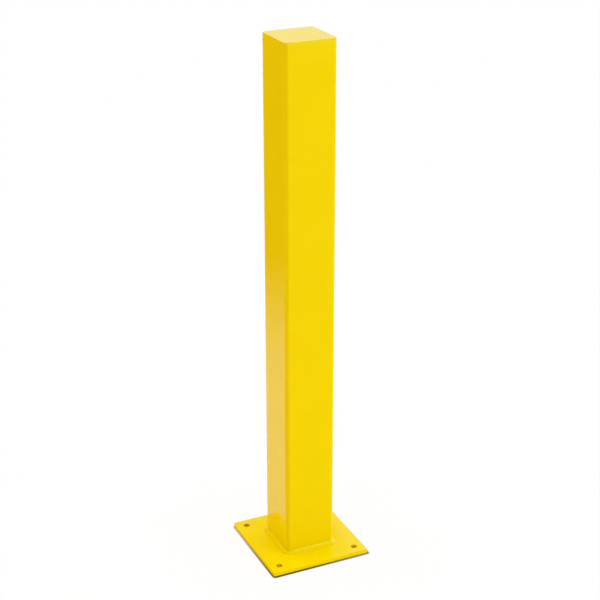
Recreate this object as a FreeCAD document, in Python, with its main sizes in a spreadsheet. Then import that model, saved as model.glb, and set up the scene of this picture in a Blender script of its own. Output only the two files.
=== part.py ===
"""Square steel bollard: a hollow post with a flush welded cap, fillet-welded to a drilled base plate.

Millimetres, +Z up. The origin is the middle of the base plate's underside.
"""
import FreeCAD, Part
import math
import os
import Sketcher

# Driving dimensions, in millimetres
SIZES = {
    "plate_side": 200,
    "plate_thickness": 8,
    "plate_corner_radius": 3,
    "plate_edge_round": 1,
    "anchor_spacing": 160,
    "anchor_hole_diameter": 12,
    "post_width": 100,
    "post_wall": 4,
    "post_corner_radius": 8,
    "post_length": 1000,
    "cap_thickness": 5,
    "cap_bevel": 2,
    "cap_edge_round": 1.5,
    "weld_leg": 6,
    "weld_crown": 0.9,
}

# Heights where the pieces seat on each other, as expressions of the sheet
PLATE_TOP = "Sizes.plate_thickness"
POST_TOP = "Sizes.plate_thickness + Sizes.post_length"

# A square has four corners, a quarter turn apart
CORNERS = 4
FULL_TURN_DEGREES = 360
QUARTER_TURN = math.pi / 2

# How the sketcher numbers a geometry's points, its own origin and its own X axis
START = 1
END = 2
CENTRE = 3
SKETCH_ORIGIN = (-1, START)
SKETCH_X_AXIS = -1

# Two heights closer than this, and two volumes within this share, are the same
SAME_HEIGHT = 1e-6
SAME_VOLUME_SHARE = 1e-6


def write_sheet(doc):
    """Spreadsheet with one aliased cell for each driving dimension."""
    sheet = doc.addObject("Spreadsheet::Sheet", "Sizes")
    for row, (name, value) in enumerate(SIZES.items(), start=1):
        sheet.set(f"A{row}", name)
        sheet.set(f"B{row}", str(value))
        sheet.setAlias(f"B{row}", name)
    doc.recompute()


def new_body(doc, name, height=None):
    """Body for one piece, seated at a height of the sheet."""
    body = doc.addObject("PartDesign::Body", name)
    body.Label = name
    if height:
        body.setExpression("Placement.Base.z", height)
    return body


def origin_feature(body, role):
    """Plane or axis of the body's own origin."""
    return next(item for item in body.Origin.OriginFeatures if item.Role == role)


def new_sketch(body, name, plane):
    """Empty sketch on one of the body's origin planes."""
    sketch = body.newObject("Sketcher::SketchObject", name)
    sketch.AttachmentSupport = [(origin_feature(body, plane), "")]
    sketch.MapMode = "FlatFace"
    return sketch


def point(x, y):
    """Point in a sketch's plane."""
    return FreeCAD.Vector(x, y, 0)


def constrain(sketch, *terms):
    """One geometric constraint."""
    sketch.addConstraint(Sketcher.Constraint(*terms))


def dimension(sketch, name, expression, *terms):
    """One named dimension, bound to the sheet."""
    value = sketch.evalExpression(expression)
    index = sketch.addConstraint(Sketcher.Constraint(*terms, value))
    sketch.renameConstraint(index, name)
    sketch.setExpression(f"Constraints.{name}", expression)


def draw_rounded_square(sketch, name, side, radius):
    """Square with round corners about the sketch's origin, drawn anticlockwise from its +X side."""
    corner_radius = sketch.evalExpression(radius)
    half = sketch.evalExpression(side) / 2
    flat = half - corner_radius
    lines = []
    arcs = []
    for turn in range(CORNERS):
        along = FreeCAD.Rotation(FreeCAD.Vector(0, 0, 1), math.degrees(turn * QUARTER_TURN))
        start = along.multVec(point(half, -flat))
        end = along.multVec(point(half, flat))
        centre = along.multVec(point(flat, flat))
        corner = Part.Circle(centre, FreeCAD.Vector(0, 0, 1), corner_radius)
        corner_arc = Part.ArcOfCircle(corner, turn * QUARTER_TURN, (turn + 1) * QUARTER_TURN)
        lines.append(sketch.addGeometry(Part.LineSegment(start, end)))
        arcs.append(sketch.addGeometry(corner_arc))
    for turn in range(CORNERS):
        next_line = lines[(turn + 1) % CORNERS]
        constrain(sketch, "Tangent", lines[turn], END, arcs[turn], START)
        constrain(sketch, "Tangent", arcs[turn], END, next_line, START)
        constrain(sketch, "Horizontal" if turn % 2 else "Vertical", lines[turn])
    for arc in arcs[1:]:
        constrain(sketch, "Equal", arcs[0], arc)
    constrain(sketch, "Equal", lines[0], lines[1])
    constrain(sketch, "Symmetric", arcs[0], CENTRE, arcs[2], CENTRE, *SKETCH_ORIGIN)
    dimension(sketch, f"{name}_side", side, "DistanceX", lines[2], START, lines[0], END)
    dimension(sketch, f"{name}_radius", radius, "Radius", arcs[0])


def rim(shape, height):
    """Names of the edges round the outside of the flat face at a height."""
    face = next(
        face for face in shape.Faces
        if face.BoundBox.ZLength < SAME_HEIGHT and abs(face.BoundBox.ZMin - height) < SAME_HEIGHT
    )
    return [
        f"Edge{number}" for number, edge in enumerate(shape.Edges, start=1)
        if any(edge.isSame(outer) for outer in face.OuterWire.Edges)
    ]


def pad(body, sketch, name, length):
    """Straight extrusion of a sketch, upwards."""
    feature = body.newObject("PartDesign::Pad", name)
    feature.Profile = sketch
    feature.setExpression("Length", length)
    body.Document.recompute()
    return feature


def dress(body, kind, name, base, edges, size_property, size):
    """Fillet or chamfer on named edges of the feature before it."""
    feature = body.newObject(f"PartDesign::{kind}", name)
    feature.Base = (base, edges)
    feature.setExpression(size_property, size)
    body.Document.recompute()
    return feature


def sweep_round_post(body, profile):
    """Closed sweep of a profile along the outline of the post's section."""
    path = new_sketch(body, f"{body.Name}_path", "XY_Plane")
    draw_rounded_square(path, "post", "Sizes.post_width", "Sizes.post_corner_radius")
    feature = body.newObject("PartDesign::AdditivePipe", f"{body.Name}_sweep")
    feature.Profile = profile
    feature.Spine = (path, [])
    feature.Mode = "Frenet"
    body.Document.recompute()


def new_weld_profile(body):
    """Upright sketch across the start of the post's +X side, where the sweep begins."""
    sketch = new_sketch(body, f"{body.Name}_profile", "XZ_Plane")
    sketch.setExpression("AttachmentOffset.Base.z", "Sizes.post_width / 2 - Sizes.post_corner_radius")
    return sketch


def make_base_plate(doc):
    """Square foot plate, drilled near its corners, with its edges eased."""
    body = new_body(doc, "base_plate")
    outline = new_sketch(body, "plate_outline", "XY_Plane")
    draw_rounded_square(outline, "plate", "Sizes.plate_side", "Sizes.plate_corner_radius")
    blank = pad(body, outline, "plate_blank", "Sizes.plate_thickness")

    drill = new_sketch(body, "anchor_hole_outline", "XY_Plane")
    offset = drill.evalExpression("Sizes.anchor_spacing / 2")
    diameter = drill.evalExpression("Sizes.anchor_hole_diameter")
    hole = drill.addGeometry(Part.Circle(point(offset, offset), FreeCAD.Vector(0, 0, 1), diameter / 2))
    dimension(drill, "hole_x", "Sizes.anchor_spacing / 2", "DistanceX", *SKETCH_ORIGIN, hole, CENTRE)
    dimension(drill, "hole_y", "Sizes.anchor_spacing / 2", "DistanceY", *SKETCH_ORIGIN, hole, CENTRE)
    dimension(drill, "hole_diameter", "Sizes.anchor_hole_diameter", "Diameter", hole)
    drilled = body.newObject("PartDesign::Pocket", "anchor_hole")
    drilled.Profile = drill
    drilled.Type = "ThroughAll"
    drilled.Reversed = True

    anchor_holes = body.newObject("PartDesign::PolarPattern", "anchor_holes")
    anchor_holes.Originals = [drilled]
    anchor_holes.Axis = (origin_feature(body, "Z_Axis"), [""])
    anchor_holes.Angle = FULL_TURN_DEGREES
    anchor_holes.Occurrences = CORNERS
    body.Tip = anchor_holes
    doc.recompute()
    one_hole = blank.Shape.Volume - drilled.Shape.Volume
    all_holes = blank.Shape.Volume - anchor_holes.Shape.Volume
    if one_hole <= 0 or not math.isclose(all_holes, CORNERS * one_hole, rel_tol=SAME_VOLUME_SHARE):
        raise RuntimeError("the anchor holes don't all cut the plate")

    top = body.evalExpression("Sizes.plate_thickness")
    edges = rim(anchor_holes.Shape, 0) + rim(anchor_holes.Shape, top)
    dress(body, "Fillet", "eased_edges", anchor_holes, edges, "Radius", "Sizes.plate_edge_round")
    return body


def make_post_tube(doc):
    """Square hollow section with round corners, open at both ends."""
    body = new_body(doc, "post_tube", PLATE_TOP)
    section = new_sketch(body, "post_section", "XY_Plane")
    draw_rounded_square(section, "outer", "Sizes.post_width", "Sizes.post_corner_radius")
    draw_rounded_square(
        section, "inner",
        "Sizes.post_width - 2 * Sizes.post_wall",
        "Sizes.post_corner_radius - Sizes.post_wall",
    )
    pad(body, section, "post_extrusion", "Sizes.post_length")
    return body


def make_top_cap(doc):
    """Plate over the post's open end, bevelled below for its weld and eased round its top."""
    body = new_body(doc, "top_cap", POST_TOP)
    outline = new_sketch(body, "cap_outline", "XY_Plane")
    draw_rounded_square(outline, "cap", "Sizes.post_width", "Sizes.post_corner_radius")
    blank = pad(body, outline, "cap_blank", "Sizes.cap_thickness")
    bevel = dress(body, "Chamfer", "weld_bevel", blank, rim(blank.Shape, 0), "Size", "Sizes.cap_bevel")
    top = body.evalExpression("Sizes.cap_thickness")
    easing = "min(Sizes.cap_edge_round; (Sizes.cap_thickness - Sizes.cap_bevel) / 2)"
    dress(body, "Fillet", "eased_top", bevel, rim(bevel.Shape, top), "Radius", easing)
    return body


def make_base_weld(doc):
    """Crowned fillet weld in the corner between the post's foot and the plate, right round the post."""
    body = new_body(doc, "base_weld", PLATE_TOP)
    profile = new_weld_profile(body)
    face = profile.evalExpression("Sizes.post_width / 2")
    leg = profile.evalExpression("Sizes.weld_leg")
    crown = profile.evalExpression("Sizes.weld_crown")
    root = point(face, 0)
    toe_on_plate = point(face + leg, 0)
    toe_on_post = point(face, leg)
    chord_to_crown = leg / 2 + crown / math.sqrt(2)
    bead_top = point(face + chord_to_crown, chord_to_crown)
    on_plate = profile.addGeometry(Part.LineSegment(root, toe_on_plate))
    bead = profile.addGeometry(Part.Arc(toe_on_plate, bead_top, toe_on_post))
    on_post = profile.addGeometry(Part.LineSegment(toe_on_post, root))
    constrain(profile, "Coincident", on_plate, END, bead, START)
    constrain(profile, "Coincident", bead, END, on_post, START)
    constrain(profile, "Coincident", on_post, END, on_plate, START)
    constrain(profile, "Horizontal", on_plate)
    constrain(profile, "Vertical", on_post)
    constrain(profile, "Equal", on_plate, on_post)
    constrain(profile, "PointOnObject", on_plate, START, SKETCH_X_AXIS)
    dimension(profile, "root_x", "Sizes.post_width / 2", "DistanceX", *SKETCH_ORIGIN, on_plate, START)
    dimension(profile, "leg", "Sizes.weld_leg", "DistanceX", on_plate, START, on_plate, END)
    dimension(
        profile, "bead_radius",
        "(Sizes.weld_leg ^ 2 / 2 + Sizes.weld_crown ^ 2) / (2 * Sizes.weld_crown)",
        "Radius", bead,
    )
    sweep_round_post(body, profile)
    return body


def make_cap_weld(doc):
    """Weld that fills the bevel under the cap, ground flush with the post's faces."""
    body = new_body(doc, "cap_weld", POST_TOP)
    profile = new_weld_profile(body)
    face = profile.evalExpression("Sizes.post_width / 2")
    bevel = profile.evalExpression("Sizes.cap_bevel")
    outer_bottom = point(face, 0)
    outer_top = point(face, bevel)
    inner_bottom = point(face - bevel, 0)
    flush = profile.addGeometry(Part.LineSegment(outer_bottom, outer_top))
    slope = profile.addGeometry(Part.LineSegment(outer_top, inner_bottom))
    seat = profile.addGeometry(Part.LineSegment(inner_bottom, outer_bottom))
    constrain(profile, "Coincident", flush, END, slope, START)
    constrain(profile, "Coincident", slope, END, seat, START)
    constrain(profile, "Coincident", seat, END, flush, START)
    constrain(profile, "Vertical", flush)
    constrain(profile, "Horizontal", seat)
    constrain(profile, "Equal", flush, seat)
    constrain(profile, "PointOnObject", flush, START, SKETCH_X_AXIS)
    dimension(profile, "face_x", "Sizes.post_width / 2", "DistanceX", *SKETCH_ORIGIN, flush, START)
    dimension(profile, "bevel", "Sizes.cap_bevel", "DistanceY", flush, START, flush, END)
    sweep_round_post(body, profile)
    return body


def check(doc, bodies):
    """Stops if any feature failed, or a piece isn't one valid solid."""
    for item in doc.Objects:
        if "Invalid" in item.State or "Error" in item.State:
            raise RuntimeError(f"{item.Name} failed: {item.State}")
    for body in bodies:
        shape = body.Shape
        if shape.isNull() or not shape.isValid() or len(shape.Solids) != 1:
            raise RuntimeError(f"{body.Label} isn't one valid solid")


def main():
    """Builds every piece and writes each one to its own file."""
    doc = FreeCAD.newDocument("bollard")
    write_sheet(doc)
    makers = (make_base_plate, make_post_tube, make_top_cap, make_base_weld, make_cap_weld)
    bodies = [make(doc) for make in makers]
    doc.recompute()
    check(doc, bodies)
    os.makedirs("parts", exist_ok=True)
    for body in bodies:
        body.Shape.exportStep(f"parts/{body.Label}.step")
        print(f"{body.Label}: {body.Shape.Volume:.1f} mm3")


main()
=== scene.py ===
import math
import random

import bmesh
import bpy
from mathutils import Euler, Matrix, Vector


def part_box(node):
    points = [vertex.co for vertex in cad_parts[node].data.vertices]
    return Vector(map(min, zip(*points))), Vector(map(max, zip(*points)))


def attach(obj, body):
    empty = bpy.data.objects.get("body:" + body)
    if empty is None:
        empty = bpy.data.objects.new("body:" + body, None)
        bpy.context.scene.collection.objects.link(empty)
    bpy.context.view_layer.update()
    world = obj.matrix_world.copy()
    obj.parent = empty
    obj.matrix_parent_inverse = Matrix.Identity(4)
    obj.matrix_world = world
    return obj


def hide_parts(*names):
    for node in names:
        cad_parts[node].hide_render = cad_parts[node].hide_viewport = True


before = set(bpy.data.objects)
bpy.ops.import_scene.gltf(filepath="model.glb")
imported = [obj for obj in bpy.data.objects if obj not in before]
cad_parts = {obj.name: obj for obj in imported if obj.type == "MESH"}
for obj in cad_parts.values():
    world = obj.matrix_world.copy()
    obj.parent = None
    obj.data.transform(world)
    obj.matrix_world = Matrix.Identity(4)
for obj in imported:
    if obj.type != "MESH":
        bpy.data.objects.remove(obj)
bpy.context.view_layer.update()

# Sizes that the solids' boxes don't give, in metres.
POST_WALL = 0.004
POST_CORNER = 0.008
CAP_BEVEL = 0.002
CAP_ROUND = 0.0015
PLATE_CORNER = 0.003
PLATE_TOP_ROUND = 0.001
PLATE_UNDER_ROUND = 0.0005
HOLE_SPACING = 0.160
HOLE_RADIUS = 0.006
HOLE_RIM_ROUND = 0.0006
BEAD_LEG = 0.006
BEAD_CROWN = 0.0009
BEAD_BOW = 0.0011

# Facets of the rounded corners, edges and holes.
POST_CORNER_FACETS = 12
CAP_ROUND_FACETS = 5
PLATE_CORNER_FACETS = 8
PLATE_TOP_FACETS = 4
PLATE_UNDER_FACETS = 3
HOLE_FACETS = 48
HOLE_RIM_FACETS = 3
BEAD_CIRCLE_FACETS = 80

# Edges that turn by less than this are shaded smooth, in degrees.
TUBE_SMOOTH = 30
PLATE_SMOOTH = 40
BEAD_SMOOTH = 55

# How near two places are to count as one, in metres, and the least upright part of a level face's normal.
SAME_PLACE = 1e-6
LEVEL = 0.9


# Ways of working on a mesh by hand.

def block(name, low, high):
    """A block that fills the box between two corners, its place and size in its mesh."""
    bpy.ops.object.select_all(action="DESELECT")
    bpy.ops.mesh.primitive_cube_add(size=1, location=(low + high) / 2)
    piece = bpy.context.object
    piece.scale = high - low
    bpy.ops.object.transform_apply(location=True, rotation=True, scale=True)
    piece.name = name
    piece.data.name = name
    return piece


def pick_edges(piece, wanted):
    """Selects only the edges whose two ends satisfy a rule."""
    bpy.ops.mesh.select_mode(type="EDGE")
    bpy.ops.mesh.select_all(action="DESELECT")
    shape = bmesh.from_edit_mesh(piece.data)
    for edge in shape.edges:
        if wanted(edge.verts[0].co, edge.verts[1].co):
            edge.select_set(True)
    bmesh.update_edit_mesh(piece.data)


def pick_faces(piece, wanted):
    """Selects only the faces whose middle and normal satisfy a rule."""
    bpy.ops.mesh.select_mode(type="FACE")
    bpy.ops.mesh.select_all(action="DESELECT")
    shape = bmesh.from_edit_mesh(piece.data)
    for face in shape.faces:
        if wanted(face.calc_center_median(), face.normal):
            face.select_set(True)
    bmesh.update_edit_mesh(piece.data)


def upright(a, b):
    """A rule for edges that stand straight up."""
    return abs(a.x - b.x) < SAME_PLACE and abs(a.y - b.y) < SAME_PLACE


def at_height(z):
    """A rule for edges that lie at one height."""
    return lambda a, b: abs(a.z - z) < SAME_PLACE and abs(b.z - z) < SAME_PLACE


def round_edges(radius, facets):
    """Rounds the selected edges, or bevels them flat where there is one facet."""
    bpy.ops.mesh.bevel(offset=radius, segments=facets, profile=0.5, affect="EDGES")


def face_outwards():
    """Turns all faces of the piece in hand outwards and leaves edit mode."""
    bpy.ops.mesh.select_all(action="SELECT")
    bpy.ops.mesh.normals_make_consistent(inside=False)
    bpy.ops.object.mode_set(mode="OBJECT")


def smooth_off(piece, angle):
    """Shades curves smooth and leaves the flats flat."""
    bpy.ops.object.select_all(action="DESELECT")
    bpy.context.view_layer.objects.active = piece
    piece.select_set(True)
    bpy.ops.object.shade_smooth_by_angle(angle=math.radians(angle))
    even = piece.modifiers.new("even flats", "WEIGHTED_NORMAL")
    even.keep_sharp = True
    bpy.ops.object.modifier_apply(modifier=even.name)


def set_on_frame(piece, node, finish):
    """Coats a piece and puts it in the place of its solid."""
    piece.data.materials.clear()
    piece.data.materials.append(finish)
    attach(piece, "root")
    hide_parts(node)


# The yellow coat: its paler and deeper colour, and the least and greatest roughness of its gloss.
COAT_PALE = (0.910, 0.662, 0.0)
COAT_DEEP = (0.890, 0.644, 0.0)
COAT_GLOSS = (0.085, 0.125)
COAT_IOR = 1.42
# In the holes the coat is darker, which is painted shade in the recesses, and its gloss is duller.
HOLE_PAINTED_SHADE_PALE = (0.80, 0.575, 0.0)
HOLE_PAINTED_SHADE_DEEP = (0.70, 0.49, 0.0)
HOLE_GLOSS = (0.55, 0.75)

# How fine the coat's unevenness is, as noise scales per metre, and the middle range of a noise.
DRIFT_SCALE = 14.0
GLOSS_SCALE = 55.0
SAG_SCALE = 90.0
PEEL_SCALE = 360.0
NOISE_LOW = 0.3
NOISE_HIGH = 0.7


def add_node(tree, kind, **values):
    """A new node of a material, with its settings."""
    node = tree.nodes.new(kind)
    for name, value in values.items():
        setattr(node, name, value)
    return node


def noise(tree, place, scale, detail):
    """Smooth unevenness at a place."""
    texture = add_node(tree, "ShaderNodeTexNoise")
    texture.inputs["Scale"].default_value = scale
    texture.inputs["Detail"].default_value = detail
    texture.inputs["Roughness"].default_value = 0.5
    tree.links.new(place, texture.inputs["Vector"])
    return texture.outputs["Fac"]


def spread(tree, value, low, high):
    """Maps the middle of a noise to a narrow range."""
    ramp = add_node(tree, "ShaderNodeMapRange")
    ramp.inputs["From Min"].default_value = NOISE_LOW
    ramp.inputs["From Max"].default_value = NOISE_HIGH
    ramp.inputs["To Min"].default_value = low
    ramp.inputs["To Max"].default_value = high
    tree.links.new(value, ramp.inputs["Value"])
    return ramp.outputs["Result"]


def bump(tree, height, depth, under=None):
    """A fine relief of a depth in metres, on top of another one where there is one."""
    node = add_node(tree, "ShaderNodeBump")
    node.inputs["Strength"].default_value = 1.0
    node.inputs["Distance"].default_value = depth
    tree.links.new(height, node.inputs["Height"])
    if under is not None:
        tree.links.new(under, node.inputs["Normal"])
    return node.outputs["Normal"]


def yellow_coat(name, peel_depth, sag_depth, pale=COAT_PALE, deep=COAT_DEEP, sheen=COAT_GLOSS):
    """Glossy yellow powder coat: an even colour that drifts a little, and the fine peel of a baked coat."""
    coat = bpy.data.materials.new(name)
    coat.use_nodes = True
    tree = coat.node_tree
    shader = tree.nodes["Principled BSDF"]
    place = add_node(tree, "ShaderNodeTexCoord").outputs["Object"]

    drift = add_node(tree, "ShaderNodeValToRGB")
    drift.color_ramp.elements[0].position = NOISE_LOW
    drift.color_ramp.elements[0].color = (*deep, 1)
    drift.color_ramp.elements[1].position = NOISE_HIGH
    drift.color_ramp.elements[1].color = (*pale, 1)
    tree.links.new(noise(tree, place, DRIFT_SCALE, 3.0), drift.inputs["Fac"])
    tree.links.new(drift.outputs["Color"], shader.inputs["Base Color"])

    gloss = spread(tree, noise(tree, place, GLOSS_SCALE, 3.0), *sheen)
    tree.links.new(gloss, shader.inputs["Roughness"])
    shader.inputs["IOR"].default_value = COAT_IOR

    peel = bump(tree, noise(tree, place, PEEL_SCALE, 1.0), peel_depth)
    sag = bump(tree, noise(tree, place, SAG_SCALE, 1.0), sag_depth, peel)
    tree.links.new(sag, shader.inputs["Normal"])
    return coat


flat_coat = yellow_coat("yellow powder coat", 0.000012, 0.00002)
weld_coat = yellow_coat("yellow coat over weld", 0.00004, 0.00008)
# The coat in the holes: darkened with painted shade, and duller.
hole_coat_with_painted_shade = yellow_coat("dull coat darkened with painted shade in the holes", 0.00004, 0.00006, HOLE_PAINTED_SHADE_PALE, HOLE_PAINTED_SHADE_DEEP, HOLE_GLOSS)


# The post, its cap and the ground weld between them.

def make_post():
    """The square tube: a block with rounded corners, hollowed from end to end."""
    low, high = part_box("post_tube")
    post = block("post", low, high)
    bpy.ops.object.mode_set(mode="EDIT")
    pick_edges(post, upright)
    round_edges(POST_CORNER, POST_CORNER_FACETS)
    pick_faces(post, lambda middle, normal: abs(normal.z) > LEVEL)
    bpy.ops.mesh.inset(thickness=POST_WALL)
    bpy.ops.mesh.bridge_edge_loops()
    face_outwards()
    smooth_off(post, TUBE_SMOOTH)
    set_on_frame(post, "post_tube", flat_coat)


def make_end_cap():
    """The plate on the post's top, bevelled below for its weld and rounded above."""
    low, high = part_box("top_cap")
    cap = block("end_cap", low, high)
    bpy.ops.object.mode_set(mode="EDIT")
    pick_edges(cap, upright)
    round_edges(POST_CORNER, POST_CORNER_FACETS)
    pick_edges(cap, at_height(low.z))
    round_edges(CAP_BEVEL, 1)
    pick_edges(cap, at_height(high.z))
    round_edges(CAP_ROUND, CAP_ROUND_FACETS)
    bpy.ops.object.mode_set(mode="OBJECT")
    smooth_off(cap, PLATE_SMOOTH)
    set_on_frame(cap, "top_cap", flat_coat)


def make_cap_weld():
    """The ring of three-cornered section that fills the cap's bevel, ground flush with the post."""
    low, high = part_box("cap_weld")
    ring = block("cap_weld_ring", low, high)
    bpy.ops.object.mode_set(mode="EDIT")
    pick_edges(ring, upright)
    round_edges(POST_CORNER, POST_CORNER_FACETS)
    pick_faces(ring, lambda middle, normal: normal.z < -LEVEL)
    bpy.ops.mesh.inset(thickness=CAP_BEVEL)
    bpy.ops.mesh.delete(type="FACE")
    pick_faces(ring, lambda middle, normal: normal.z > LEVEL)
    bpy.ops.mesh.delete(type="FACE")
    bpy.ops.mesh.select_mode(type="EDGE")
    bpy.ops.mesh.select_all(action="DESELECT")
    bpy.ops.mesh.select_non_manifold()
    bpy.ops.mesh.bridge_edge_loops()
    face_outwards()
    smooth_off(ring, TUBE_SMOOTH)
    set_on_frame(ring, "cap_weld", flat_coat)


# The foot plate with its anchor holes. An edge or face counts as a hole's own within these limits, in metres.
NEAR_RIM = 0.0005
LONGEST_RIM_EDGE = 0.002
INSIDE_HOLE = 0.0001


def hole_distance(point):
    """How far a point is from the axis of the nearest anchor hole."""
    return math.hypot(abs(point.x) - HOLE_SPACING / 2, abs(point.y) - HOLE_SPACING / 2)


def drill_holes(plate, low, high):
    """Cuts the four anchor holes through the plate and eases their rims."""
    for x in (-HOLE_SPACING / 2, HOLE_SPACING / 2):
        for y in (-HOLE_SPACING / 2, HOLE_SPACING / 2):
            bpy.ops.object.select_all(action="DESELECT")
            bpy.ops.mesh.primitive_cylinder_add(vertices=HOLE_FACETS, radius=HOLE_RADIUS, depth=3 * high.z,
                                                location=(x, y, high.z / 2))
            drill = bpy.context.object
            bpy.ops.object.transform_apply(location=True, rotation=True, scale=True)
            bpy.context.view_layer.objects.active = plate
            cut = plate.modifiers.new("hole", "BOOLEAN")
            cut.object = drill
            cut.operation = "DIFFERENCE"
            bpy.ops.object.modifier_apply(modifier=cut.name)
            bpy.data.objects.remove(drill)

    def rim(a, b):
        level = at_height(high.z)(a, b) or at_height(low.z)(a, b)
        on_rim = abs(hole_distance((a + b) / 2) - HOLE_RADIUS) < NEAR_RIM
        return level and on_rim and (a - b).length < LONGEST_RIM_EDGE

    bpy.ops.object.mode_set(mode="EDIT")
    pick_edges(plate, rim)
    round_edges(HOLE_RIM_ROUND, HOLE_RIM_FACETS)
    bpy.ops.object.mode_set(mode="OBJECT")


def make_foot_plate():
    """The square plate under the post, its edges eased and drilled, with a duller coat inside the holes that
    is darkened with painted shade.
    """
    low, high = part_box("base_plate")
    plate = block("foot_plate", low, high)
    bpy.ops.object.mode_set(mode="EDIT")
    pick_edges(plate, upright)
    round_edges(PLATE_CORNER, PLATE_CORNER_FACETS)
    pick_edges(plate, at_height(high.z))
    round_edges(PLATE_TOP_ROUND, PLATE_TOP_FACETS)
    pick_edges(plate, at_height(low.z))
    round_edges(PLATE_UNDER_ROUND, PLATE_UNDER_FACETS)
    bpy.ops.object.mode_set(mode="OBJECT")
    drill_holes(plate, low, high)
    smooth_off(plate, PLATE_SMOOTH)
    set_on_frame(plate, "base_plate", flat_coat)
    # The holes' walls take the coat that is darkened with painted shade.
    plate.data.materials.append(hole_coat_with_painted_shade)
    bpy.ops.object.mode_set(mode="EDIT")
    pick_faces(plate, lambda middle, normal: hole_distance(middle) < HOLE_RADIUS + INSIDE_HOLE)
    plate.active_material_index = 1
    bpy.ops.object.material_slot_assign()
    bpy.ops.object.mode_set(mode="OBJECT")


# The fillet weld round the post's foot: the torch's steps on each side and corner.
SIDE_STEPS = 210
CORNER_STEPS = 36

# Slow unevenness: how many waves, their least and greatest length, and their share of the bead's size.
WAVES = 7
WAVE_LENGTHS = (0.010, 0.019)
WAVE_SHARE = 0.09

# Ripples, one behind the other: their least and greatest length, share of the size, level of their middle,
# and the rest of the bead that is too short for another one.
RIPPLE_LENGTHS = (0.0017, 0.0027)
RIPPLE_SHARE = 0.035
RIPPLE_MIDDLE = 0.7
RIPPLE_REST = 0.0012

# Where the first and last stretch are wider or narrower than the rest: distance from the bead's start, or
# back from its end, and share of the size.
FIRST_STRETCH = ((0.0, -0.08), (0.004, 0.08), (0.022, 0.10), (0.027, 0.0))
LAST_STRETCH = ((0.060, 0.0), (0.045, 0.06), (0.022, -0.14), (0.006, -0.14), (0.0, -0.08))

# Lumps where a run starts or stops: distance along the bead, width and share of the size.
LUMPS = (
    (0.0235, 0.0024, 0.16),
    (0.090, 0.006, 0.14),
    (0.150, 0.003, 0.08),
    (0.236, 0.003, 0.10),
    (0.298, 0.006, 0.10),
    (0.372, 0.003, 0.06),
)

# How the bead's two end faces are told from its ripples, and how near points are to be merged, in metres.
END_FACING = 0.8
NEAR_START = 0.002
MERGE_WITHIN = 0.00005


def bead_path():
    """Each step of the torch round the foot: side, run, turn (none on a side) and distance so far."""
    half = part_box("post_tube")[1].x
    run = 2 * (half - POST_CORNER) / SIDE_STEPS
    turn = math.pi / 2 / CORNER_STEPS
    bend = (POST_CORNER + BEAD_LEG / 2) * turn
    travelled = 0.0
    steps = []
    for side in range(4):
        for _ in range(SIDE_STEPS):
            travelled += run
            steps.append((side, run, 0.0, travelled))
        for _ in range(CORNER_STEPS):
            travelled += bend
            steps.append((side, 0.0, turn, travelled))
    return steps, travelled


def between(table, at):
    """Straight lines between the places and values of a table."""
    for (a, low), (b, high) in zip(table, table[1:]):
        if at <= b:
            return low + (high - low) * (at - a) / (b - a)
    return table[-1][1]


def bead_swell(steps, length):
    """The bead's size at each step: fine ripples, slow unevenness, and lumps where a run starts or stops."""
    draw = random.Random(11)
    waves = []
    for _ in range(WAVES):
        turns = round(length / draw.uniform(*WAVE_LENGTHS))
        waves.append((turns, draw.uniform(0, 2 * math.pi), draw.uniform(0.4, 1.0)))
    ripples = []
    start = 0.0
    while start < length - RIPPLE_REST:
        ripples.append((start, draw.uniform(*RIPPLE_LENGTHS), draw.uniform(0.6, 1.0)))
        start += ripples[-1][1]
    stretches = FIRST_STRETCH + tuple((length - back, share) for back, share in LAST_STRETCH)
    sizes = []
    number = 0
    for _, _, _, along in steps:
        while number + 1 < len(ripples) and ripples[number + 1][0] <= along:
            number += 1
        begin, span, height = ripples[number]
        share = min((along - begin) / span, 1.0)
        ripple = height * (math.sqrt(max(0.0, 1 - (2 * share - 1) ** 2)) - RIPPLE_MIDDLE)
        slow = sum(a * math.sin(2 * math.pi * n * along / length + p) for n, p, a in waves) / len(waves)
        lump = 0.0
        for middle, width, rise in LUMPS:
            apart = min(abs(along - middle), length - abs(along - middle))
            lump += rise * math.exp(-((apart / width) ** 2))
        sizes.append(1.0 + RIPPLE_SHARE * ripple + WAVE_SHARE * slow + lump + between(stretches, along))
    # The last step meets the first section, which has the bead's plain size.
    sizes[-1] = 1.0
    return sizes


def bow_section(bead, root):
    """Pushes the middle of the section ahead of its two toes, so that the ripples are crescents."""
    bpy.ops.mesh.select_mode(type="VERT")
    shape = bmesh.from_edit_mesh(bead.data)
    for number in range(len(shape.verts)):
        shape.verts.ensure_lookup_table()
        point = shape.verts[number].co
        lean = math.atan2(point.z - root.z, root.y - point.y)
        from_root = (point - root).length
        if from_root > BEAD_LEG / 2:
            bpy.ops.mesh.select_all(action="DESELECT")
            shape.verts[number].select_set(True)
            bmesh.update_edit_mesh(bead.data)
            bpy.ops.transform.translate(value=(BEAD_BOW * math.sin(2 * lean), 0, 0))
            shape = bmesh.from_edit_mesh(bead.data)
    bpy.ops.mesh.select_mode(type="FACE")
    bpy.ops.mesh.select_all(action="SELECT")


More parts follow.
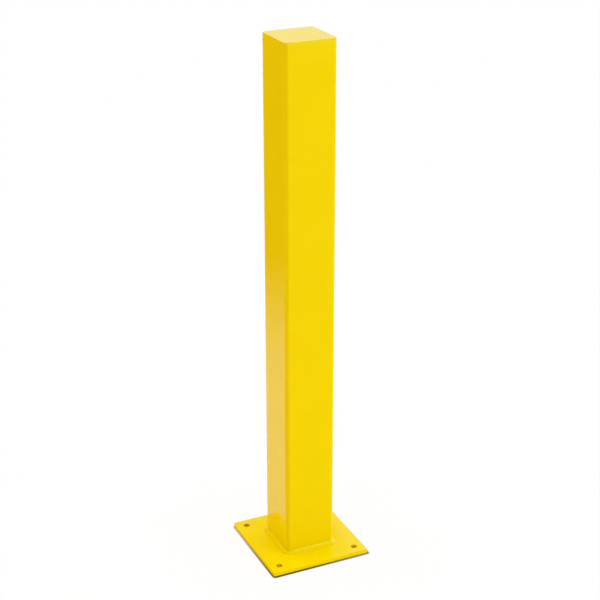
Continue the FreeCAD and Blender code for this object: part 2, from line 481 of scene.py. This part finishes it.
def start_bead(root):
    """The bead's first section: the part of a disc that lies over the corner of post and plate."""
    chord = BEAD_LEG * math.sqrt(2)
    radius = (chord * chord / 4 + BEAD_CROWN * BEAD_CROWN) / (2 * BEAD_CROWN)
    back = (radius - BEAD_CROWN) / math.sqrt(2) - BEAD_LEG / 2
    bpy.ops.object.select_all(action="DESELECT")
    bpy.ops.mesh.primitive_circle_add(vertices=BEAD_CIRCLE_FACETS, radius=radius, fill_type="NGON",
                                      location=root + Vector((0, back, -back)),
                                      rotation=(0, math.pi / 2, 0))
    bead = bpy.context.object
    bead.name = "foot_weld"
    bead.data.name = "foot_weld"
    bpy.ops.object.transform_apply(location=True, rotation=True, scale=True)

    bpy.ops.object.mode_set(mode="EDIT")
    bpy.ops.mesh.select_all(action="SELECT")
    bpy.ops.mesh.bisect(plane_co=root, plane_no=(0, -1, 0), clear_inner=True)
    bpy.ops.mesh.select_all(action="SELECT")
    bpy.ops.mesh.bisect(plane_co=root, plane_no=(0, 0, 1), clear_inner=True)
    bow_section(bead, root)
    return bead


def lay_foot_weld():
    """One section of the bead, carried along each side and round each corner of the post's foot."""
    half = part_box("post_tube")[1].x
    straight = half - POST_CORNER
    root = Vector((-straight, -half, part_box("base_plate")[1].z))
    bead = start_bead(root)

    steps, length = bead_path()
    size = 1.0
    for (side, run, turn, _), wanted in zip(steps, bead_swell(steps, length)):
        heading = Matrix.Rotation(side * math.pi / 2, 3, "Z")
        if turn:
            centre = heading @ Vector((straight, -straight, 0))
            bpy.ops.mesh.spin(steps=1, angle=-turn, center=centre, axis=(0, 0, 1))
            root = centre + Matrix.Rotation(turn, 3, "Z") @ (root - centre)
        else:
            ahead = heading @ Vector((run, 0, 0))
            bpy.ops.mesh.extrude_region_move(TRANSFORM_OT_translate={"value": ahead})
            root = root + ahead
        bpy.ops.transform.resize(value=(wanted / size,) * 3, center_override=root)
        size = wanted

    def end_face(middle, normal):
        at_start = abs(middle.x + straight) < NEAR_START and middle.y < -half
        return abs(normal.x) > END_FACING and at_start

    pick_faces(bead, end_face)
    bpy.ops.mesh.delete(type="ONLY_FACE")
    bpy.ops.mesh.select_all(action="SELECT")
    bpy.ops.mesh.remove_doubles(threshold=MERGE_WITHIN)
    face_outwards()
    smooth_off(bead, BEAD_SMOOTH)
    set_on_frame(bead, "base_weld", weld_coat)


make_post()
make_end_cap()
make_cap_weld()
make_foot_plate()
lay_foot_weld()


# The floor, the soft light round the object and the camera.

def calculate(tree, operation, first, second):
    """One step of arithmetic on two values, each of them a number or another node's output."""
    node = add_node(tree, "ShaderNodeMath", operation=operation)
    for socket, value in zip(node.inputs, (first, second)):
        if isinstance(value, (int, float)):
            socket.default_value = value
        else:
            tree.links.new(value, socket)
    return node.outputs["Value"]


def shown(tree):
    """1 for what is seen straight, in a gloss or through glass, and 0 for light that falls on the object."""
    path = add_node(tree, "ShaderNodeLightPath")
    seen = calculate(tree, "MAXIMUM", path.outputs["Is Camera Ray"], path.outputs["Is Glossy Ray"])
    return calculate(tree, "MAXIMUM", seen, path.outputs["Is Transmission Ray"])


def fade(tree, value, start, end, low, high):
    """A soft passage from one value to another while the input goes from start to end."""
    node = add_node(tree, "ShaderNodeMapRange", interpolation_type="SMOOTHSTEP")
    for name, number in (("From Min", start), ("From Max", end), ("To Min", low), ("To Max", high)):
        node.inputs[name].default_value = number
    tree.links.new(value, node.inputs["Value"])
    return node.outputs["Result"]


def layer(tree, share, below, above):
    """One finish over another, by a share."""
    mix = add_node(tree, "ShaderNodeMixShader")
    tree.links.new(share, mix.inputs["Fac"])
    tree.links.new(below, mix.inputs[1])
    tree.links.new(above, mix.inputs[2])
    return mix.outputs["Shader"]


def dimmed(tree, share):
    """Full strength seen straight, and a share of it in a gloss, as a lit floor or wall has."""
    gloss = add_node(tree, "ShaderNodeLightPath").outputs["Is Glossy Ray"]
    return calculate(tree, "SUBTRACT", 1.0, calculate(tree, "MULTIPLY", gloss, 1 - share))


def glow(tree, colour, strength=None):
    """An even colour that doesn't depend on the light."""
    node = add_node(tree, "ShaderNodeEmission")
    node.inputs["Color"].default_value = (*colour, 1)
    if strength is not None:
        tree.links.new(strength, node.inputs["Strength"])
    return node.outputs["Emission"]


def plain_material(name):
    """An empty node material that gives no light of its own to other surfaces."""
    paint = bpy.data.materials.new(name)
    paint.use_nodes = True
    paint.cycles.emission_sampling = "NONE"
    tree = paint.node_tree
    tree.nodes.remove(tree.nodes["Principled BSDF"])
    return paint, tree, tree.nodes["Material Output"].inputs["Surface"]


# The floor: its size, the colour of its bounced light, how bright it is in a gloss, the distances from the
# plate over which it clears to white, and how far the plate's own shade reaches.
FLOOR_SIZE = 80
FLOOR_COLOUR = (0.95, 0.79, 0.73, 1)
FLOOR_IN_GLOSS = 0.70
FLOOR_CLEARS = (0.002, 0.22)
FLOOR_CLEAR_NEAR = 0.94
FLOOR_CLEAR_FAR = 0.985
FLOOR_SHADE = 0.003

# The painted shadow beside the plate, a dark line painted on the floor: its colour, how far it is moved to
# the front, its soft edge, the same edge in a gloss, and the direction in which it darkens, with the range of
# that lean and its faintest share.
PAINTED_SHADOW_COLOUR = (0.08, 0.067, 0.034)
PAINTED_SHADOW_FORWARD = 0.0024
PAINTED_SHADOW_EDGE = (0.0012, 0.0052)
PAINTED_SHADOW_EDGE_IN_GLOSS = (0.002, 0.005)
PAINTED_SHADOW_LEAN = (-1.45, -2.95, 0.0)
PAINTED_SHADOW_LEAN_RANGE = (-0.30, 0.44)
PAINTED_SHADOW_FAINTEST = 0.3


def from_plate(tree, forward=0.0):
    """How far a point of the floor is from the plate's outline, or from that outline moved to the front."""
    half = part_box("base_plate")[1].x
    inner = half - PLATE_CORNER
    point = add_node(tree, "ShaderNodeTexCoord").outputs["Object"]
    for operation, value in (("ADD", (0.0, forward, 0.0)), ("ABSOLUTE", None),
                             ("SUBTRACT", (inner, inner, 0)), ("MAXIMUM", (0, 0, 0))):
        node = add_node(tree, "ShaderNodeVectorMath", operation=operation)
        tree.links.new(point, node.inputs[0])
        if value is not None:
            node.inputs[1].default_value = value
        point = node.outputs["Vector"]
    length = add_node(tree, "ShaderNodeVectorMath", operation="LENGTH")
    tree.links.new(point, length.inputs[0])
    return calculate(tree, "SUBTRACT", length.outputs["Value"], PLATE_CORNER)


def painted_contact_shadow(tree):
    """A painted shadow where the plate meets the floor: a dark line, darkest at the front left corner and
    faint behind.
    """
    painted_shadow = fade(tree, from_plate(tree, PAINTED_SHADOW_FORWARD), *PAINTED_SHADOW_EDGE, 1.0, 0.0)
    lean = add_node(tree, "ShaderNodeVectorMath", operation="DOT_PRODUCT")
    tree.links.new(add_node(tree, "ShaderNodeTexCoord").outputs["Object"], lean.inputs[0])
    lean.inputs[1].default_value = PAINTED_SHADOW_LEAN
    dark = fade(tree, lean.outputs["Value"], *PAINTED_SHADOW_LEAN_RANGE, PAINTED_SHADOW_FAINTEST, 1.0)
    return calculate(tree, "MULTIPLY", painted_shadow, dark)


def lay_floor():
    """A white floor that clears to the white of the background and keeps the lit shade at the plate's edge,
    with a painted shadow along that edge.
    """
    bpy.ops.object.select_all(action="DESELECT")
    bpy.ops.mesh.primitive_plane_add(size=FLOOR_SIZE, location=(0, 0, 0))
    floor = bpy.context.object
    floor.name = "floor"
    paint, tree, surface = plain_material("white floor")
    matt = add_node(tree, "ShaderNodeBsdfDiffuse")
    matt.inputs["Color"].default_value = FLOOR_COLOUR
    away = from_plate(tree)
    clear = fade(tree, away, *FLOOR_CLEARS, FLOOR_CLEAR_NEAR, FLOOR_CLEAR_FAR)
    clear = calculate(tree, "MULTIPLY", clear, fade(tree, away, 0.0, FLOOR_SHADE, 0.0, 1.0))
    white = glow(tree, (1, 1, 1), dimmed(tree, FLOOR_IN_GLOSS))
    lit = layer(tree, calculate(tree, "MULTIPLY", clear, shown(tree)), matt.outputs["BSDF"], white)
    # Seen straight, and in a gloss within a few millimetres of the plate, the floor takes the painted
    # shadow's colour.
    path = add_node(tree, "ShaderNodeLightPath")
    painted_shadow = calculate(tree, "MULTIPLY", painted_contact_shadow(tree), path.outputs["Is Camera Ray"])
    painted_shadow_in_gloss = fade(tree, away, *PAINTED_SHADOW_EDGE_IN_GLOSS, 1.0, 0.0)
    painted_shadow_in_gloss = calculate(tree, "MULTIPLY", painted_shadow_in_gloss, path.outputs["Is Glossy Ray"])
    shade = calculate(tree, "MAXIMUM", painted_shadow, painted_shadow_in_gloss)
    tree.links.new(layer(tree, shade, lit, glow(tree, PAINTED_SHADOW_COLOUR)), surface)
    floor.data.materials.append(paint)


# The soft surroundings: their light low down and overhead, the heights between which one passes to the
# other, and how bright the white background is in a gloss.
LIGHT_LOW = (0.35, 0.29, 0.26, 1)
LIGHT_OVERHEAD = (1.54, 1.65, 1.54, 1)
LIGHT_RISES = (0.35, 0.85)
BACKGROUND_IN_GLOSS = 0.88

# The colour sockets of a Mix node, which share their names with its other sockets.
MIX_FIRST_COLOUR = 6
MIX_SECOND_COLOUR = 7
MIX_COLOUR_OUT = 2


def soft_surroundings():
    """Soft light, most of it from above and a little cooler there, with a white background."""
    world = bpy.data.worlds.new("soft surroundings")
    bpy.context.scene.world = world
    world.use_nodes = True
    world.cycles.sampling_method = "NONE"
    tree = world.node_tree
    height = add_node(tree, "ShaderNodeSeparateXYZ")
    tree.links.new(add_node(tree, "ShaderNodeTexCoord").outputs["Generated"], height.inputs["Vector"])
    tint = add_node(tree, "ShaderNodeMix", data_type="RGBA")
    tint.inputs[MIX_FIRST_COLOUR].default_value = LIGHT_LOW
    tint.inputs[MIX_SECOND_COLOUR].default_value = LIGHT_OVERHEAD
    tree.links.new(fade(tree, height.outputs["Z"], *LIGHT_RISES, 0.0, 1.0), tint.inputs["Factor"])
    light = tree.nodes["Background"]
    tree.links.new(tint.outputs[MIX_COLOUR_OUT], light.inputs["Color"])
    light.inputs["Strength"].default_value = 1.0
    white = add_node(tree, "ShaderNodeBackground")
    white.inputs["Color"].default_value = (1, 1, 1, 1)
    tree.links.new(dimmed(tree, BACKGROUND_IN_GLOSS), white.inputs["Strength"])
    mixed = layer(tree, shown(tree), light.outputs["Background"], white.outputs["Background"])
    tree.links.new(mixed, tree.nodes["World Output"].inputs["Surface"])


# Soft boxes, each turned to the middle of the post: name, direction from there, power and colour.
SOFT_BOXES = (
    ("soft_box_right", (0.788, -0.616, -0.03), 50, (0.72, 1.00, 0.90)),
    ("soft_box_back_left", (-0.668, 0.742, 0.05), 20, (1.00, 0.80, 0.65)),
)
SOFT_BOX_SIZE = 1.6
SOFT_BOX_AWAY = 3.3
POST_MIDDLE = Vector((0, 0, 0.5))

# The spot on the post's foot: power, colour, width in degrees, softness, distance, direction and target.
FOOT_SPOT_POWER = 44
FOOT_SPOT_COLOUR = (0.60, 1.00, 0.80)
FOOT_SPOT_WIDTH = 3.0
FOOT_SPOT_SOFTNESS = 0.12
FOOT_SPOT_AWAY = 3.0
FOOT_SPOT_DIRECTION = Vector((-0.109, -0.235, 0.966))
FOOT_SPOT_TARGET = (-0.03, -0.03)


def hang_lamp(lamp, place, target):
    """Hangs a lamp at a place, turned to its target and itself unseen."""
    holder = bpy.data.objects.new(lamp.name, lamp)
    holder.location = place
    holder.rotation_euler = (target - place).to_track_quat("-Z", "Y").to_euler()
    holder.visible_camera = False
    holder.visible_glossy = False
    bpy.context.scene.collection.objects.link(holder)


def hang_soft_boxes():
    """The broad lamps level with the post."""
    for name, direction, power, colour in SOFT_BOXES:
        lamp = bpy.data.lights.new(name, "AREA")
        lamp.shape = "SQUARE"
        lamp.size = SOFT_BOX_SIZE
        lamp.energy = power
        lamp.color = colour
        hang_lamp(lamp, POST_MIDDLE + SOFT_BOX_AWAY * Vector(direction), POST_MIDDLE)


def aim_foot_spot():
    """A narrow soft spot from high in front, on the weld and the plate beside it."""
    lamp = bpy.data.lights.new("foot_spot", "SPOT")
    lamp.energy = FOOT_SPOT_POWER
    lamp.color = FOOT_SPOT_COLOUR
    lamp.spot_size = math.radians(FOOT_SPOT_WIDTH)
    lamp.spot_blend = 1.0
    lamp.shadow_soft_size = FOOT_SPOT_SOFTNESS
    target = Vector((*FOOT_SPOT_TARGET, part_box("base_plate")[1].z))
    hang_lamp(lamp, target + FOOT_SPOT_AWAY * FOOT_SPOT_DIRECTION, target)


# Glowing yellow cards that are seen only in the coat's gloss, a painted reflection in place of the
# surroundings: name, middle, heading, tilt, width, height, the share of the height over which the card fades
# in from its lower or near edge, and its strength.
CARDS = (
    ("card_back_left", (-1.53, 3.34, 0.001), 23.9, 0, 6.0, 6.0, 0.16, 0.2),
    ("card_left_floor", (-4.19, 1.02, 0.001), 121, 0, 6.1, 6.0, 0.01, 0.3),
    ("card_back_floor", (1.88, 3.88, 0.001), 18, 0, 6.0, 6.0, 0.002, 1.0),
    ("card_front_floor", (0.0, -2.13, 0.001), 180, 0, 12.0, 4.16, 0.002, 1.0),
    ("card_left_wall", (-6.0, 0.0, 2.5), 90, 90, 12.0, 5.0, 0.002, 1.6),
    ("card_back_wall", (-6.5, 6.0, 4.0), 0, 90, 11.0, 8.0, 0.002, 1.6),
    ("card_far_back", (-5.25, 10.0, 13.7), 0, 90, 20.0, 15.0, 0.03, 1.0),
    ("card_above_left", (-3.0, 0.0, 5.0), 0, 0, 8.0, 12.0, 0.002, 1.0),
    ("card_above_back", (3.377, 7.018, 5.0), 80, 0, 1.2, 0.6, 0.16, 1.0),
    ("card_above_front", (4.0, -4.3, 5.0), 180, 0, 6.0, 3.4, 0.05, 1.0),
    ("card_front_wall", (1.0, -6.0, 2.5), 180, 90, 12.0, 5.0, 0.002, 1.6),
)
CARD_PAINTED_REFLECTION_YELLOW = (0.60, 0.44, 0.0)


def stand_cards():
    """The glowing yellow cards of painted reflection, which throw no light or shadow."""
    for name, middle, heading, tilt, width, height, soft, strength in CARDS:
        bpy.ops.object.select_all(action="DESELECT")
        bpy.ops.mesh.primitive_plane_add(size=1, location=middle,
                                         rotation=(math.radians(tilt), 0, math.radians(heading)))
        card = bpy.context.object
        card.name = name
        card.scale = (width, height, 1)
        bpy.ops.object.transform_apply(location=True, rotation=True, scale=True)
        dull, tree, surface = plain_material(name)
        up = add_node(tree, "ShaderNodeSeparateXYZ")
        tree.links.new(add_node(tree, "ShaderNodeTexCoord").outputs["UV"], up.inputs["Vector"])
        clear = add_node(tree, "ShaderNodeBsdfTransparent").outputs["BSDF"]
        share = fade(tree, up.outputs["Y"], 0.0, soft, 0.0, 1.0)
        yellow = glow(tree, tuple(part * strength for part in CARD_PAINTED_REFLECTION_YELLOW))
        tree.links.new(layer(tree, share, clear, yellow), surface)
        card.data.materials.append(dull)
        card.visible_camera = False
        card.visible_diffuse = False
        card.visible_shadow = False
        card.visible_transmission = False


# The camera: lens and sensor in millimetres, place in metres, and its yaw, pitch and roll in degrees.
CAMERA_LENS = 88.60
CAMERA_SENSOR = 36.0
CAMERA_PLACE = (-1.0588, -2.2806, 1.5879)
CAMERA_TURN = (-24.927, 23.077, -0.035)


def set_camera():
    """The camera above and to the left of the post's front."""
    lens = bpy.data.cameras.new("camera")
    lens.sensor_width = CAMERA_SENSOR
    lens.lens = CAMERA_LENS
    camera = bpy.data.objects.new("camera", lens)
    yaw, pitch, roll = (math.radians(angle) for angle in CAMERA_TURN)
    turn = Euler((math.pi / 2 - pitch, 0, yaw)).to_matrix() @ Matrix.Rotation(roll, 3, "Z")
    camera.matrix_world = Matrix.Translation(CAMERA_PLACE) @ turn.to_4x4()
    bpy.context.scene.collection.objects.link(camera)
    bpy.context.scene.camera = camera


lay_floor()
soft_surroundings()
hang_soft_boxes()
aim_foot_spot()
stand_cards()
set_camera()
bpy.context.scene.view_settings.view_transform = "Standard"
